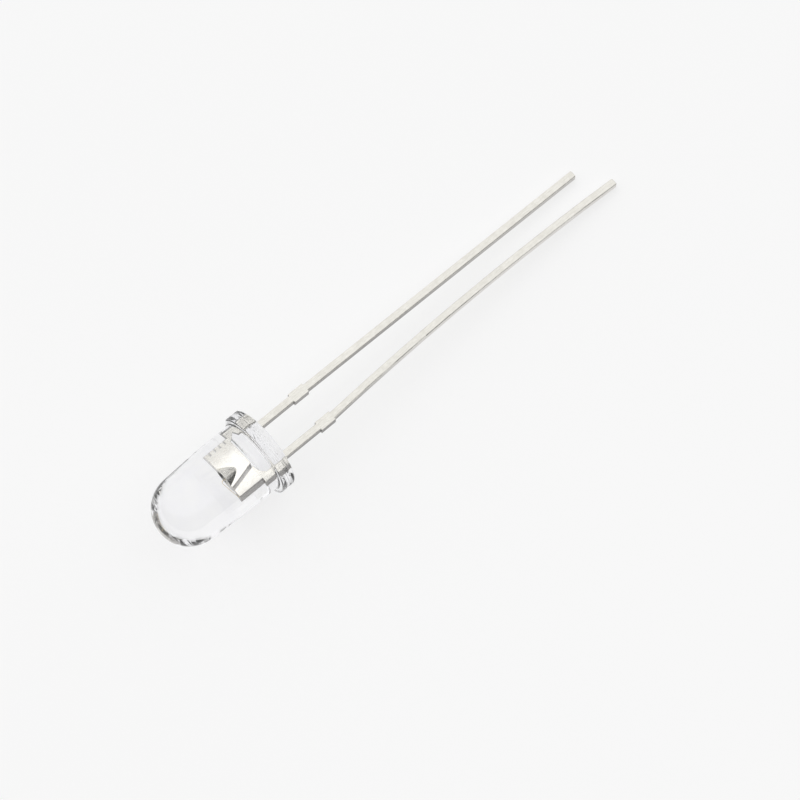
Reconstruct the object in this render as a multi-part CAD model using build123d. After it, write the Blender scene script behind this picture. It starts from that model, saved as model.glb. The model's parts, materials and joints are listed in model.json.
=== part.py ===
from build123d import *
import math
import os

# Round through-hole LED, water clear, lying on a table as it comes to rest.
# Every piece is first drawn standing up in millimetres: Z runs along the lens axis with the dome on top,
# Z = 0 is the seating face of the flange, X runs from the cathode lead to the anode lead and
# Y is across the thickness of the lead sheet.

# Resin body
body_diameter = 5.0
overall_height = 8.7
dome_inset = 0.12
draft_angle = 2.5
flange_overhang = 0.4
flange_thickness = 1.0
flange_flat_overhang = 0.05
flange_edge_radius = 0.08
flange_root_radius = 0.12
back_dish_rim = 0.45
back_dish_depth = 0.15
collar_spread = 0.12

# Lead sheet and the straight leads
sheet_thickness = 0.5
lead_width = 0.5
lead_edge_radius = 0.07
lead_pitch = 2.54
cathode_length = 27.3
anode_length = 28.9
tip_chamfer = 0.06
tip_toe_in = 0.2
anode_bow = 0.34

# Stubs left where the tie bar between the leads was sheared off
stub_width = 0.7
stub_height = 1.16
stub_distance = 3.4

# Heads of the two leads inside the resin
head_top = 3.55
head_bottom = 1.66
head_inset = 0.06
lead_shoulder = 0.3
anvil_top_right = 0.6
anvil_bottom_right = 0.24
head_gap = 0.17
gap_foot_height = 0.45
gap_foot_radius = 0.72
head_corner_radius = 0.06

# Lock notches along the outer edge of the cathode head
notch_count = 4
notch_pitch = 0.4
notch_width = 0.1
notch_depth = 0.16

# Triangular notch that narrows the cathode lead just below its head
neck_drop = 0.08
neck_height = 0.68
neck_apex_rise = 0.22
neck_depth = 0.26

# Reflector cup struck into the top of the cathode head
cup_rim_radius = 0.55
cup_mouth_radius = 0.46
cup_floor_radius = 0.28
cup_depth = 0.36
cup_boss_height = 1.1
cup_boss_foot_radius = 0.2

# Chip, its adhesive and the bond wire
chip_width = 0.3
chip_height = 0.18
adhesive_thickness = 0.04
adhesive_foot_radius = 0.26
adhesive_top_radius = 0.225
wire_diameter = 0.034
wire_rise = 0.3
wire_bend_radius = 0.12
ball_diameter = 0.1
ball_height = 0.036
stitch_diameter = 0.1
stitch_height = 0.03
stitch_inset = 0.18

# Rounds of turning that bring flange and lead tips onto the table
settling_rounds = 6

# Heights and places that follow from the sizes above
body_radius = body_diameter / 2
dome_radius = body_radius - dome_inset
dome_centre_z = overall_height - dome_radius
flange_radius = body_radius + flange_overhang
flange_flat_distance = body_radius + flange_flat_overhang
back_dish_radius = flange_radius - back_dish_rim
lead_x = lead_pitch / 2
head_half_span = lead_x - head_inset
stitch_x = head_half_span - stitch_inset
cup_floor_z = head_top - cup_depth
chip_foot_z = cup_floor_z + adhesive_thickness
chip_top_z = chip_foot_z + chip_height
stub_top_z = -stub_distance
stub_foot_z = stub_top_z - stub_height


def resin_outline():
    """Half section of the casting: flange, straight land, drafted wall and dome."""
    draft = math.radians(draft_angle)
    wall_top_x = dome_radius * math.cos(draft)
    wall_top_z = dome_centre_z + dome_radius * math.sin(draft)
    land_top_z = wall_top_z - (body_radius - wall_top_x) / math.tan(draft)
    halfway = math.radians((90 + draft_angle) / 2)
    dome_middle_x = dome_radius * math.cos(halfway)
    dome_middle_z = dome_centre_z + dome_radius * math.sin(halfway)
    with BuildSketch(Plane.XZ) as outline:
        with BuildLine():
            Polyline(
                (0, overall_height),
                (0, 0),
                (flange_radius, 0),
                (flange_radius, flange_thickness),
                (body_radius, flange_thickness),
                (body_radius, land_top_z),
                (wall_top_x, wall_top_z),
            )
            ThreePointArc((wall_top_x, wall_top_z), (dome_middle_x, dome_middle_z), (0, overall_height))
        make_face()
        rim = outline.vertices().filter_by(lambda v: abs(v.X - flange_radius) < 1e-6)
        fillet(rim, radius=flange_edge_radius)
        root = outline.vertices().filter_by(
            lambda v: abs(v.X - body_radius) < 1e-6 and abs(v.Z - flange_thickness) < 1e-6
        )
        fillet(root, radius=flange_root_radius)
    return outline.sketch


def back_dish():
    """Shallow hollow that the resin's skin leaves in the seating face."""
    ball_radius = (back_dish_radius**2 + back_dish_depth**2) / (2 * back_dish_depth)
    ball = Sphere(ball_radius)
    return Pos(0, 0, back_dish_depth - ball_radius) * ball


def lead_collar():
    """Resin that climbs a lead inside the hollow, as high as the seating face."""
    foot = Rectangle(lead_width + 2 * collar_spread, sheet_thickness + 2 * collar_spread)
    slope = math.degrees(math.atan(collar_spread / back_dish_depth))
    return Pos(0, 0, back_dish_depth) * extrude(foot, amount=-back_dish_depth, taper=slope)


def resin_casting():
    """The whole lens casting before the metal inside it is taken out."""
    casting = revolve(resin_outline(), axis=Axis.Z)
    beside_flat = (Align.MAX, Align.CENTER, Align.MIN)
    flat_cut = Box(flange_radius, 2 * flange_radius, flange_thickness, align=beside_flat)
    casting -= Pos(-flange_flat_distance, 0, 0) * flat_cut
    casting -= back_dish()
    for x in (-lead_x, lead_x):
        casting += Pos(x, 0, 0) * lead_collar()
    return casting.solid()


def stub():
    """Sheared remains of the tie bar, a little wider than its lead."""
    return Box(stub_width, sheet_thickness, stub_height, align=(Align.CENTER, Align.CENTER, Align.MAX))


def stamping(outline):
    """Blanks an outline out of the sheet, with half of the thickness on each side of it."""
    return extrude(outline, amount=sheet_thickness / 2, both=True)


def lead_strip(side, top_z, length, bow):
    """Square lead from its head to its tip. Below the stub it leans in and, with a bow, curves."""
    near = side * (lead_x - lead_width / 2)
    far = side * (lead_x + lead_width / 2)
    lean = side * tip_toe_in
    middle_z = (stub_foot_z - length) / 2
    middle_lean = lean / 2 + side * bow
    with BuildSketch(Plane.XZ) as outline:
        with BuildLine():
            Polyline((near, stub_foot_z), (near, top_z), (far, top_z), (far, stub_foot_z))
            if bow:
                ThreePointArc((far, stub_foot_z), (far - middle_lean, middle_z), (far - lean, -length))
                ThreePointArc((near, stub_foot_z), (near - middle_lean, middle_z), (near - lean, -length))
            else:
                Line((far, stub_foot_z), (far - lean, -length))
                Line((near, stub_foot_z), (near - lean, -length))
            Line((far - lean, -length), (near - lean, -length))
        make_face()
    strip = stamping(outline.sketch)
    long_edges = strip.edges().filter_by(lambda e: e.bounding_box().size.Z > stub_height)
    strip = fillet(long_edges, radius=lead_edge_radius)
    tip_edges = strip.faces().sort_by(Axis.Z)[0].edges()
    strip = chamfer(tip_edges, length=tip_chamfer)
    return strip + Pos(side * lead_x, 0, stub_top_z) * stub()


def gap_line_x(z):
    """Place of the cathode head's slanting edge at a height."""
    share = (z - head_bottom) / (head_top - head_bottom)
    return anvil_bottom_right + share * (anvil_top_right - anvil_bottom_right)


def lock_notches():
    """Slots in the outer edge of the cathode head that key it into the resin."""
    first_z = (head_top + head_bottom) / 2 - (notch_count - 1) * notch_pitch / 2
    slot = Box(2 * notch_depth, 2 * sheet_thickness, notch_width)
    return [Pos(-head_half_span, 0, first_z + k * notch_pitch) * slot for k in range(notch_count)]


def neck_notch():
    """Cut in the inner edge of the cathode lead, as high as the resin needs to grip it."""
    edge_x = -lead_x + lead_width / 2
    foot_z = head_bottom - neck_drop - neck_height
    with BuildSketch(Plane.XZ) as outline:
        with BuildLine():
            Polyline(
                (edge_x, foot_z),
                (edge_x - neck_depth, foot_z + neck_apex_rise),
                (edge_x, foot_z + neck_height),
                close=True,
            )
        make_face()
    return stamping(outline.sketch)


def cup_boss():
    """Round head that swells out of the sheet around the reflector cup."""
    hanging = (Align.CENTER, Align.CENTER, Align.MAX)
    boss = Cone(cup_boss_foot_radius, cup_rim_radius, cup_boss_height, align=hanging)
    return Pos(0, 0, head_top) * boss


def cup_hollow():
    """Conical reflector, open towards the dome."""
    hanging = (Align.CENTER, Align.CENTER, Align.MAX)
    hollow = Cone(cup_floor_radius, cup_mouth_radius, cup_depth, align=hanging)
    return Pos(0, 0, head_top) * hollow


def cathode():
    """Cathode lead, with the anvil that carries the reflector cup."""
    near = -lead_x + lead_width / 2
    shoulder_z = head_bottom + lead_shoulder
    with BuildSketch(Plane.XZ) as outline:
        with BuildLine():
            Polyline(
                (-head_half_span, head_top),
                (anvil_top_right, head_top),
                (anvil_bottom_right, head_bottom),
                (near, head_bottom),
                (near, head_bottom - lead_shoulder),
                (-head_half_span, head_bottom - lead_shoulder),
                close=True,
            )
        make_face()
        corners = outline.vertices().filter_by(lambda v: v.X > near + 1e-6 or v.Z > shoulder_z)
        fillet(corners, radius=head_corner_radius)
    head = stamping(outline.sketch)
    for notch in lock_notches():
        head -= notch
    lead = lead_strip(-1, head_bottom, cathode_length, 0)
    return (lead + head + cup_boss() - cup_hollow() - neck_notch()).solid()


def anode():
    """Anode lead, with the post that the wire is bonded to."""
    near = lead_x - lead_width / 2
    foot_z = head_bottom - gap_foot_height
    with BuildSketch(Plane.XZ) as outline:
        with BuildLine():
            Polyline(
                (near, foot_z),
                (head_half_span, foot_z),
                (head_half_span, head_top),
                (anvil_top_right + head_gap, head_top),
                (gap_line_x(head_bottom) + head_gap, head_bottom),
            )
            RadiusArc((gap_line_x(head_bottom) + head_gap, head_bottom), (near, foot_z), gap_foot_radius)
        make_face()
        corners = outline.vertices().filter_by(lambda v: v.Z > head_top - 1e-6)
        fillet(corners, radius=head_corner_radius)
    return (lead_strip(1, head_bottom, anode_length, anode_bow) + stamping(outline.sketch)).solid()


def chip():
    """Light-emitting chip, a square block on its adhesive."""
    block = Box(chip_width, chip_width, chip_height, align=(Align.CENTER, Align.CENTER, Align.MIN))
    return Pos(0, 0, chip_foot_z) * block


def adhesive():
    """Silver-filled adhesive that spreads under the chip on the floor of the cup."""
    pad = Cone(
        adhesive_foot_radius,
        adhesive_top_radius,
        adhesive_thickness,
        align=(Align.CENTER, Align.CENTER, Align.MIN),
    )
    return Pos(0, 0, cup_floor_z) * pad


def bond_wire():
    """Gold wire: ball on the chip, loop over the cup's rim and stitch on the anode post."""
    upright = (Align.CENTER, Align.CENTER, Align.MIN)
    start_z = chip_top_z + ball_height / 2
    end_z = head_top + stitch_height / 2
    path = FilletPolyline(
        (0, 0, start_z),
        (0, 0, head_top + wire_rise),
        (stitch_x, 0, end_z),
        radius=wire_bend_radius,
    )
    wire = sweep(Plane((0, 0, start_z)) * Circle(wire_diameter / 2), path=path)
    ball = Pos(0, 0, chip_top_z) * Cylinder(ball_diameter / 2, ball_height, align=upright)
    stitch = Pos(stitch_x, 0, head_top) * Cylinder(stitch_diameter / 2, stitch_height, align=upright)
    return (wire + ball + stitch).solid()


def lying(tilt, roll):
    """Place on its side: the dome raised by the tilt, the cathode side lowered by the roll."""
    dome_direction = (-math.cos(tilt), 0, math.sin(tilt))
    anode_direction = (math.sin(tilt) * math.sin(roll), -math.cos(roll), math.cos(tilt) * math.sin(roll))
    return Plane(origin=(0, 0, 0), x_dir=anode_direction, z_dir=dome_direction).location


def resting_place(pieces):
    """Turns the standing part on its side until flange rim and both lead tips meet the table."""
    tip_spacing = lead_pitch - 2 * tip_toe_in
    tilt = 0
    roll = 0
    for _ in range(settling_rounds):
        place = lying(tilt, roll)
        flange_z = (place * pieces["lens_body"]).bounding_box().min.Z
        cathode_z = (place * pieces["cathode_lead"]).bounding_box().min.Z
        anode_z = (place * pieces["anode_lead"]).bounding_box().min.Z
        tilt += (anode_z - flange_z) / anode_length
        roll += (cathode_z - anode_z) / tip_spacing
    return lying(tilt, roll)


def build_pieces():
    """All pieces, standing up, by node name."""
    pieces = {
        "cathode_lead": cathode(),
        "anode_lead": anode(),
        "led_chip": chip(),
        "die_attach": adhesive(),
        "bond_wire": bond_wire(),
    }
    resin = resin_casting()
    for piece in pieces.values():
        resin -= piece
    pieces["lens_body"] = resin.solid()
    return pieces


def main():
    os.makedirs("parts", exist_ok=True)
    standing = build_pieces()
    place = resting_place(standing)
    resting = {name: place * piece for name, piece in standing.items()}
    box = Compound(list(resting.values())).bounding_box()
    to_origin = Pos(-box.center().X, -box.center().Y, -box.min.Z)
    for name, piece in resting.items():
        export_step(to_origin * piece, f"parts/{name}.step")


main()
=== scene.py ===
import bmesh
import bpy
import json
import math
from mathutils import Matrix, Vector, noise as wave_noise


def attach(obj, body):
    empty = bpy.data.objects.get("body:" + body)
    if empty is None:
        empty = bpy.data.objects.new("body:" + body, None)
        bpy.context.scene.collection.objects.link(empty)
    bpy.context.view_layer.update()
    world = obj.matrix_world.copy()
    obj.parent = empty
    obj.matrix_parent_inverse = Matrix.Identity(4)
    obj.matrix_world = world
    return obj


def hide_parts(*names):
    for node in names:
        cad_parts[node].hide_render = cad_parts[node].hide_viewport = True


# A water-clear 5 mm LED lying on a pale table. Lengths are in metres, in the frame of the CAD model.

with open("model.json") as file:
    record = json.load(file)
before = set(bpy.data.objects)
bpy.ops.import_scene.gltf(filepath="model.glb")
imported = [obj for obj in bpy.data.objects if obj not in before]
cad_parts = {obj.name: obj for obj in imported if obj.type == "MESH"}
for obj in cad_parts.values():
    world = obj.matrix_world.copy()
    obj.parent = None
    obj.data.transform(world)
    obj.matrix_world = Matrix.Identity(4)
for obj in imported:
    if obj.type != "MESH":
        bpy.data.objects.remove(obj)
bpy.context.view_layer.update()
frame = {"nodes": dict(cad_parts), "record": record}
scene = bpy.context.scene
MM = 0.001

# Resin body, standing up: Z along the lens axis from the seating face, X towards the anode
BODY_RADIUS = 2.5 * MM
OVERALL_HEIGHT = 8.7 * MM
DOME_RADIUS = 2.38 * MM
DRAFT = math.radians(2.5)
FLANGE_RADIUS = 2.9 * MM
FLANGE_THICKNESS = 1.0 * MM
FLANGE_FLAT_DISTANCE = 2.55 * MM
FLANGE_EDGE_RADIUS = 0.08 * MM
FLANGE_ROOT_RADIUS = 0.12 * MM
DISH_RADIUS = 2.45 * MM
DISH_DEPTH = 0.15 * MM
COLLAR_SPREAD = 0.12 * MM
LEAD_X = 1.27 * MM
LEAD_HALF = 0.25 * MM
CHIP_TOP = 3.41 * MM
CHIP_PAD_RADIUS = 0.075 * MM

# Waves of the hollow's surface, which cured open
WAVE_SIZE = 0.6 * MM
WAVE_SHARE = 0.5

# Facets of the resin's skin
RESIN_SIDES = 240
DISH_RINGS = 60
EDGE_STEPS = 6
WALL_STEPS = 14
DOME_STEPS = 60
SHARP_EDGE = math.radians(32)

# Places along the lying part: ends of the lead frame, end of the cup, end of the resin
LEADS_START = -14.0 * MM
LEADS_END = 19.0 * MM
CUP_END = -12.4 * MM
RESIN_END = -10.5 * MM

# Colours of the plated sheet with a painted shade, and how much rougher it is inside the resin
PLATING = (0.9, 0.885, 0.83)
DULL_PLATING = (0.78, 0.76, 0.705)
# Painted shade: dark grey for the cup's flank that faces the anode
CUP_FLANK_SHADE = (0.2, 0.195, 0.18, 1)
MATTE_IN_RESIN = 0.04

# Painted shade on the sheared sides along each lead, as (share of the lead frame's length, grey)
CATHODE_SIDE_SHADE = [
    (0.0, 0.6),
    (0.055, 0.6),
    (0.07, 0.15),
    (0.13, 0.3),
    (0.49, 0.3),
    (0.74, 0.45),
    (0.95, 0.55),
]
ANODE_SIDE_SHADE = [
    (0.0, 0.4),
    (0.13, 0.3),
    (0.2, 0.25),
    (0.27, 0.27),
    (0.45, 0.68),
    (0.74, 0.75),
]

# Camera that matches the photograph, found from the lead lines, the flange and the dome
PHOTO_SIDE = 800
FOCAL_PIXELS = 7131.7
SENSOR_WIDTH = 36.0
CAMERA_TURN = math.radians(41.777)
CAMERA_ELEVATION = math.radians(73.10)
CAMERA_DISTANCE = 0.45
CAMERA_AIM = Vector((-1.312, -2.833, 1.076)) * MM

# Middle of the soft lamp, which is also the direction in which the room is brightest
LAMP_PLACE = Vector((0.15, 0.35, 0.6))
LAMP_SIDE = 0.6
LAMP_WATTS = 0.6

# Table top, and the share of white that it shows to the eye on top of the light that falls on it
TABLE_SIDE = 1.6
TABLE_LIFT = 0.69


def node_graph(owner):
    """Empties the node tree of a material or world and returns it."""
    owner.use_nodes = True
    owner.node_tree.nodes.clear()
    return owner.node_tree


def add_node(tree, kind, inputs=None, **settings):
    """Adds a node, with values or links for its inputs, and settings for its properties."""
    node = tree.nodes.new(kind)
    for name, value in settings.items():
        setattr(node, name, value)
    for name, value in (inputs or {}).items():
        if isinstance(value, bpy.types.NodeSocket):
            tree.links.new(value, node.inputs[name])
        else:
            node.inputs[name].default_value = value
    return node


def ramp(tree, factor, stops):
    """Colour ramp over a factor, from (place, grey or colour) stops."""
    node = add_node(tree, "ShaderNodeValToRGB", {"Fac": factor})
    points = node.color_ramp.elements
    while len(points) < len(stops):
        points.new(0.5)
    for point, (place, colour) in zip(points, stops):
        point.position = place
        point.color = (colour, colour, colour, 1) if isinstance(colour, (int, float)) else (*colour, 1)
    return node.outputs["Color"]


def noise(tree, vector, scale, detail=3.0, roughness=0.5):
    """Noise texture value over a vector."""
    values = {"Vector": vector, "Scale": scale, "Detail": detail, "Roughness": roughness}
    return add_node(tree, "ShaderNodeTexNoise", values).outputs["Fac"]


def calculate(tree, operation, *values):
    """Result of a math node over up to three values."""
    return add_node(tree, "ShaderNodeMath", dict(enumerate(values)), operation=operation).outputs[0]


def compare_vectors(tree, operation, first, second):
    """Dot product or distance of two vectors."""
    node = add_node(tree, "ShaderNodeVectorMath", {0: first, 1: second}, operation=operation)
    return node.outputs["Value"]


def mix_colours(tree, factor, first, second):
    """Blend of two colours. The colour sockets of the mix node are numbers 6 and 7, and its result is 2."""
    values = {"Factor": factor, 6: first, 7: second}
    return add_node(tree, "ShaderNodeMix", values, data_type="RGBA").outputs[2]


def object_place(tree):
    """Place on the object, in metres."""
    return add_node(tree, "ShaderNodeTexCoord").outputs["Object"]


def bumped(tree, height, strength, distance, **inputs):
    """Normal that is bent by a height."""
    values = {"Height": height, "Strength": strength, "Distance": distance, **inputs}
    return add_node(tree, "ShaderNodeBump", values).outputs["Normal"]


def principled(tree, **inputs):
    """Principled surface. Underscores in the names of its inputs stand for spaces."""
    values = {name.replace("_", " "): value for name, value in inputs.items()}
    return add_node(tree, "ShaderNodeBsdfPrincipled", values).outputs["BSDF"]


def set_surface(tree, surface):
    """Ends a material's node tree with its surface."""
    add_node(tree, "ShaderNodeOutputMaterial", {"Surface": surface})


def standing_to_lying():
    """Matrix that carries the standing LED onto the CAD model, from the chip's faces and the seat."""
    directions = [polygon.normal.copy() for polygon in frame["nodes"]["led_chip"].data.polygons]
    sheet_normal = max(directions, key=lambda n: n.z)
    to_anode = min(directions, key=lambda n: n.y)
    to_dome = min(directions, key=lambda n: n.x)
    seat = next(m for m in frame["record"]["mounts"] if m["name"] == "seat")
    turned = Matrix((to_anode, sheet_normal, to_dome)).transposed().to_4x4()
    return Matrix.Translation(Vector(seat["pos_m"])) @ turned


PLACE = standing_to_lying()
TO_ANODE = tuple(PLACE.to_3x3() @ Vector((1, 0, 0)))
SHEET_NORMAL = tuple(PLACE.to_3x3() @ Vector((0, 1, 0)))


def arc_points(centre, radius, start, end, count):
    """Points on an arc in the (radius, height) plane, with both ends. Angles are from the radius axis."""
    for k in range(count + 1):
        angle = start + (end - start) * k / count
        yield (centre[0] + radius * math.cos(angle), centre[1] + radius * math.sin(angle))


def straight_points(start, end, count):
    """Points between two ends, without the ends."""
    for k in range(1, count):
        share = k / count
        yield (start[0] + (end[0] - start[0]) * share, start[1] + (end[1] - start[1]) * share)


def resin_profile():
    """Half section of the casting from the middle of the seating face to the tip of the dome."""
    edge = FLANGE_EDGE_RADIUS
    root = FLANGE_ROOT_RADIUS
    quarter = math.pi / 2
    centre_z = OVERALL_HEIGHT - DOME_RADIUS
    wall_top = (DOME_RADIUS * math.cos(DRAFT), centre_z + DOME_RADIUS * math.sin(DRAFT))
    land_top = (BODY_RADIUS, wall_top[1] - (BODY_RADIUS - wall_top[0]) / math.tan(DRAFT))
    ball = (DISH_RADIUS**2 + DISH_DEPTH**2) / (2 * DISH_DEPTH)
    points = []
    for k in range(DISH_RINGS + 1):
        r = DISH_RADIUS * k / DISH_RINGS
        points.append((r, DISH_DEPTH - ball + math.sqrt(ball**2 - r**2)))
    points += arc_points((FLANGE_RADIUS - edge, edge), edge, -quarter, 0, EDGE_STEPS)
    points += straight_points(points[-1], (FLANGE_RADIUS, FLANGE_THICKNESS - edge), EDGE_STEPS)
    points += arc_points((FLANGE_RADIUS - edge, FLANGE_THICKNESS - edge), edge, 0, quarter, EDGE_STEPS)
    root_centre = (BODY_RADIUS + root, FLANGE_THICKNESS + root)
    points += arc_points(root_centre, root, 3 * quarter, 2 * quarter, EDGE_STEPS)
    points += straight_points(points[-1], land_top, WALL_STEPS)
    points.append(land_top)
    points += straight_points(land_top, wall_top, WALL_STEPS)
    points += arc_points((0, centre_z), DOME_RADIUS, DRAFT, quarter, DOME_STEPS)
    return points


def set_free_surface(shape):
    """Gives the hollow its waves, and draws it down along both leads, as resin wets them."""
    for vertex in shape.verts:
        if math.hypot(vertex.co.x, vertex.co.y) > DISH_RADIUS or vertex.co.z > DISH_DEPTH:
            continue
        beside_x = max(abs(abs(vertex.co.x) - LEAD_X) - LEAD_HALF, 0)
        beside_y = max(abs(vertex.co.y) - LEAD_HALF, 0)
        nearness = max(1 - math.hypot(beside_x, beside_y) / COLLAR_SPREAD, 0)
        waves = 1 + WAVE_SHARE * wave_noise.noise(vertex.co / WAVE_SIZE)
        vertex.co.z *= (1 - nearness**2) * waves


def ring_points(r, z):
    """One ring of the turned skin, or a single point on the axis."""
    if r < 1e-9:
        return [(0, 0, z)]
    turn = 2 * math.pi / RESIN_SIDES
    return [(r * math.cos(k * turn), r * math.sin(k * turn), z) for k in range(RESIN_SIDES)]


def resin_mesh():
    """Outer skin of the casting: the turned profile with the flat cut off its flange."""
    shape = bmesh.new()
    rings = [[shape.verts.new(point) for point in ring_points(r, z)] for r, z in resin_profile()]
    for low, high in zip(rings, rings[1:]):
        for k in range(RESIN_SIDES):
            after = (k + 1) % RESIN_SIDES
            corners = [low[k % len(low)], low[after % len(low)], high[after % len(high)], high[k % len(high)]]
            # On the axis two corners are one point, which is kept once
            shape.faces.new(list(dict.fromkeys(corners)))
    set_free_surface(shape)
    everything = shape.verts[:] + shape.edges[:] + shape.faces[:]
    plane = {"plane_co": (-FLANGE_FLAT_DISTANCE, 0, 0), "plane_no": (-1, 0, 0)}
    cut = bmesh.ops.bisect_plane(shape, geom=everything, clear_outer=True, **plane)
    edges = [item for item in cut["geom_cut"] if isinstance(item, bmesh.types.BMEdge)]
    bmesh.ops.contextual_create(shape, geom=edges)
    bmesh.ops.recalc_face_normals(shape, faces=shape.faces)
    shape.transform(PLACE)
    mesh = bpy.data.meshes.new("lens")
    shape.to_mesh(mesh)
    shape.free()
    mesh.shade_smooth()
    mesh.set_sharp_from_angle(angle=SHARP_EDGE)
    return mesh


def resin_material():
    """Water-clear epoxy with faint unevenness in its tint and polish, which lets lamp light through."""
    material = bpy.data.materials.new("clear_resin")
    tree = node_graph(material)
    place = object_place(tree)
    haze = noise(tree, place, 900.0, 4.0)
    epoxy = principled(
        tree,
        Base_Color=ramp(tree, haze, [(0.3, (0.965, 0.965, 0.99)), (0.7, (1.0, 1.0, 1.0))]),
        Roughness=ramp(tree, haze, [(0.35, 0.004), (0.75, 0.03)]),
        IOR=1.54,
        Transmission_Weight=1.0,
        Normal=bumped(tree, noise(tree, place, 350.0, 1.0), 0.05, 0.02 * MM),
    )
    shadow_ray = add_node(tree, "ShaderNodeLightPath").outputs["Is Shadow Ray"]
    passing = add_node(tree, "ShaderNodeBsdfTransparent", {"Color": (0.97, 0.97, 0.985, 1)})
    parts = {0: shadow_ray, 1: epoxy, 2: passing.outputs["BSDF"]}
    set_surface(tree, add_node(tree, "ShaderNodeMixShader", parts).outputs["Shader"])
    return material


def sheet_tint(tree, length_place, rolled_tint, side_shade_stops):
    """Colour of the stamping: its rolled faces, painted shade on its sheared sides and painted shade on the
    cup's flank that faces the anode.
    """
    facing = add_node(tree, "ShaderNodeNewGeometry").outputs["True Normal"]
    flatness = calculate(tree, "ABSOLUTE", compare_vectors(tree, "DOT_PRODUCT", facing, SHEET_NORMAL))
    rolled = ramp(tree, flatness, [(0.12, 0.0), (0.3, 1.0)])
    values = {"Value": length_place, "From Min": LEADS_START, "From Max": LEADS_END}
    along_leads = add_node(tree, "ShaderNodeMapRange", values).outputs["Result"]
    # Painted shade: the sheared sides take their grey from the stops along the leads
    painted_side_shade = ramp(tree, along_leads, [(share, (g, g * 0.97, g * 0.93)) for share, g in side_shade_stops])
    sides = mix_colours(tree, rolled, painted_side_shade, rolled_tint)
    # Painted shade on the cup's flank: rolled faces at the cup that face the anode turn dark grey
    turned = compare_vectors(tree, "DOT_PRODUCT", facing, TO_ANODE)
    turned = ramp(tree, turned, [(0.25, 0.0), (0.5, 1.0)])
    at_cup = calculate(tree, "MULTIPLY", calculate(tree, "LESS_THAN", length_place, CUP_END), rolled)
    return mix_colours(tree, calculate(tree, "MULTIPLY", turned, at_cup), sides, CUP_FLANK_SHADE)


def plated_material(name, side_shade_stops):
    """Plated stamping: rolling streaks on the sheet's faces, and painted shade on the sheared sides, paler
    towards the tips.
    """
    material = bpy.data.materials.new(name)
    tree = node_graph(material)
    place = object_place(tree)
    length_place = add_node(tree, "ShaderNodeSeparateXYZ", {"Vector": place}).outputs["X"]
    along = add_node(tree, "ShaderNodeMapping", {"Vector": place, "Scale": (0.04, 1.0, 1.0)})
    streaks = noise(tree, along.outputs["Vector"], 22000.0, 3.0)
    mottle = noise(tree, place, 2500.0, 4.0, 0.6)
    wear = calculate(tree, "MULTIPLY", streaks, mottle)
    rolled_tint = ramp(tree, wear, [(0.15, DULL_PLATING), (0.4, PLATING)])
    in_resin = calculate(tree, "LESS_THAN", length_place, RESIN_END)
    polish = ramp(tree, streaks, [(0.3, 0.16), (0.7, 0.3)])
    edges = add_node(tree, "ShaderNodeBevel", {"Radius": 0.04 * MM}, samples=6).outputs["Normal"]
    metal = principled(
        tree,
        Base_Color=sheet_tint(tree, length_place, rolled_tint, side_shade_stops),
        Metallic=1.0,
        Roughness=calculate(tree, "MULTIPLY_ADD", in_resin, MATTE_IN_RESIN, polish),
        Normal=bumped(tree, mottle, 0.25, 0.008 * MM, Normal=edges),
    )
    set_surface(tree, metal)
    return material


def chip_material():
    """Diced chip: dark grained sides and a gold contact in the middle of the top."""
    material = bpy.data.materials.new("diced_chip")
    tree = node_graph(material)
    place = object_place(tree)
    away = compare_vectors(tree, "DISTANCE", place, PLACE @ Vector((0, 0, CHIP_TOP)))
    pad = calculate(tree, "LESS_THAN", away, CHIP_PAD_RADIUS)
    grain = ramp(tree, noise(tree, place, 30000.0), [(0.3, (0.16, 0.17, 0.15)), (0.7, (0.3, 0.31, 0.27))])
    colour = mix_colours(tree, pad, grain, (0.9, 0.68, 0.32, 1))
    set_surface(tree, principled(tree, Base_Color=colour, Metallic=0.6, Roughness=0.3))
    return material


def adhesive_material():
    """Silver-filled adhesive, matte and grainy."""
    material = bpy.data.materials.new("silver_adhesive")
    tree = node_graph(material)
    flakes = noise(tree, object_place(tree), 60000.0, 2.0)
    colour = ramp(tree, flakes, [(0.3, (0.5, 0.5, 0.49)), (0.7, (0.78, 0.78, 0.77))])
    grains = bumped(tree, flakes, 0.4, 0.004 * MM)
    set_surface(tree, principled(tree, Base_Color=colour, Metallic=0.7, Roughness=0.5, Normal=grains))
    return material


def gold_material():
    """Drawn gold wire."""
    material = bpy.data.materials.new("gold_wire")
    tree = node_graph(material)
    drawn = noise(tree, object_place(tree), 40000.0, 2.0)
    colour = ramp(tree, drawn, [(0.3, (0.95, 0.8, 0.56)), (0.7, (1.0, 0.9, 0.7))])
    set_surface(tree, principled(tree, Base_Color=colour, Metallic=1.0, Roughness=0.18))
    return material


def dress(name, material):
    """Gives a CAD node one material in all its slots."""
    slots = frame["nodes"][name].data.materials
    slots.clear()
    slots.append(material)


def table_material():
    """White table top with barely visible tone, lifted for the rays that look at it."""
    material = bpy.data.materials.new("white_table")
    tree = node_graph(material)
    tone = ramp(tree, noise(tree, object_place(tree), 12.0, 2.0), [(0.3, 0.295), (0.7, 0.305)])
    paint = add_node(tree, "ShaderNodeBsdfDiffuse", {"Color": tone})
    path = add_node(tree, "ShaderNodeLightPath").outputs
    looking = calculate(tree, "MAXIMUM", path["Is Camera Ray"], path["Is Glossy Ray"])
    looking = calculate(tree, "MAXIMUM", looking, path["Is Transmission Ray"])
    lift = calculate(tree, "MULTIPLY", looking, TABLE_LIFT)
    glow = add_node(tree, "ShaderNodeEmission", {"Color": (1, 1, 1, 1), "Strength": lift})
    parts = {0: paint.outputs["BSDF"], 1: glow.outputs["Emission"]}
    set_surface(tree, add_node(tree, "ShaderNodeAddShader", parts).outputs["Shader"])
    return material


def add_table():
    """Large flat table top under the part."""
    bpy.ops.mesh.primitive_grid_add(x_subdivisions=2, y_subdivisions=2, size=TABLE_SIDE, location=(0, 0, 0))
    table = bpy.context.active_object
    table.name = "table_top"
    table.data.materials.append(table_material())


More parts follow.
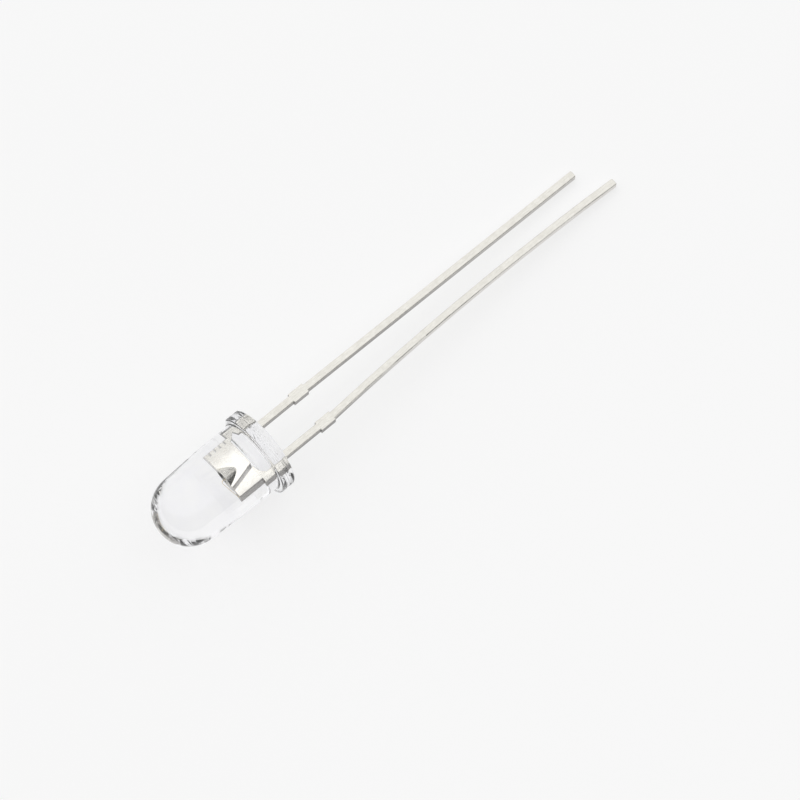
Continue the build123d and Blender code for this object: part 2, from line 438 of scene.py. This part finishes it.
def add_studio():
    """Room that is bright on the lamp's side and dark behind, with a soft lamp that metal doesn't mirror."""
    world = bpy.data.worlds.new("studio")
    scene.world = world
    tree = node_graph(world)
    direction = add_node(tree, "ShaderNodeTexCoord").outputs["Generated"]
    towards_lamp = compare_vectors(tree, "DOT_PRODUCT", direction, LAMP_PLACE.normalized())
    brightness = ramp(tree, towards_lamp, [(0.0, 0.02), (0.25, 0.15), (0.45, 0.85), (0.75, 1.0)])
    background = add_node(tree, "ShaderNodeBackground", {"Color": brightness, "Strength": 1.0})
    add_node(tree, "ShaderNodeOutputWorld", {"Surface": background.outputs["Background"]})
    lamp = bpy.data.lights.new("overhead", "AREA")
    lamp.shape = "SQUARE"
    lamp.size = LAMP_SIDE
    lamp.energy = LAMP_WATTS
    holder = bpy.data.objects.new("overhead", lamp)
    holder.location = LAMP_PLACE
    holder.rotation_euler = (-LAMP_PLACE).to_track_quat("-Z", "Y").to_euler()
    holder.visible_glossy = False
    scene.collection.objects.link(holder)


def add_camera():
    """Camera at the photograph's viewing angle."""
    camera = bpy.data.cameras.new("photo_camera")
    camera.sensor_width = SENSOR_WIDTH
    camera.lens = FOCAL_PIXELS / PHOTO_SIDE * SENSOR_WIDTH
    camera.clip_start = 0.001
    holder = bpy.data.objects.new("photo_camera", camera)
    right = Vector((math.cos(CAMERA_TURN), -math.sin(CAMERA_TURN), 0))
    level = Vector((-math.sin(CAMERA_TURN), -math.cos(CAMERA_TURN), 0))
    back = level * math.cos(CAMERA_ELEVATION) + Vector((0, 0, 1)) * math.sin(CAMERA_ELEVATION)
    up = back.cross(right)
    place = CAMERA_AIM + back * CAMERA_DISTANCE
    holder.matrix_world = Matrix.Translation(place) @ Matrix((right, up, back)).transposed().to_4x4()
    scene.collection.objects.link(holder)
    scene.camera = holder


add_camera()
lens = bpy.data.objects.new("lens", resin_mesh())
scene.collection.objects.link(lens)
lens.data.materials.append(resin_material())
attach(lens, "root")
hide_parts("lens_body")

dress("cathode_lead", plated_material("cathode_plating", CATHODE_SIDE_SHADE))
dress("anode_lead", plated_material("anode_plating", ANODE_SIDE_SHADE))
dress("led_chip", chip_material())
dress("die_attach", adhesive_material())
dress("bond_wire", gold_material())

add_table()
add_studio()
scene.view_settings.view_transform = "Standard"
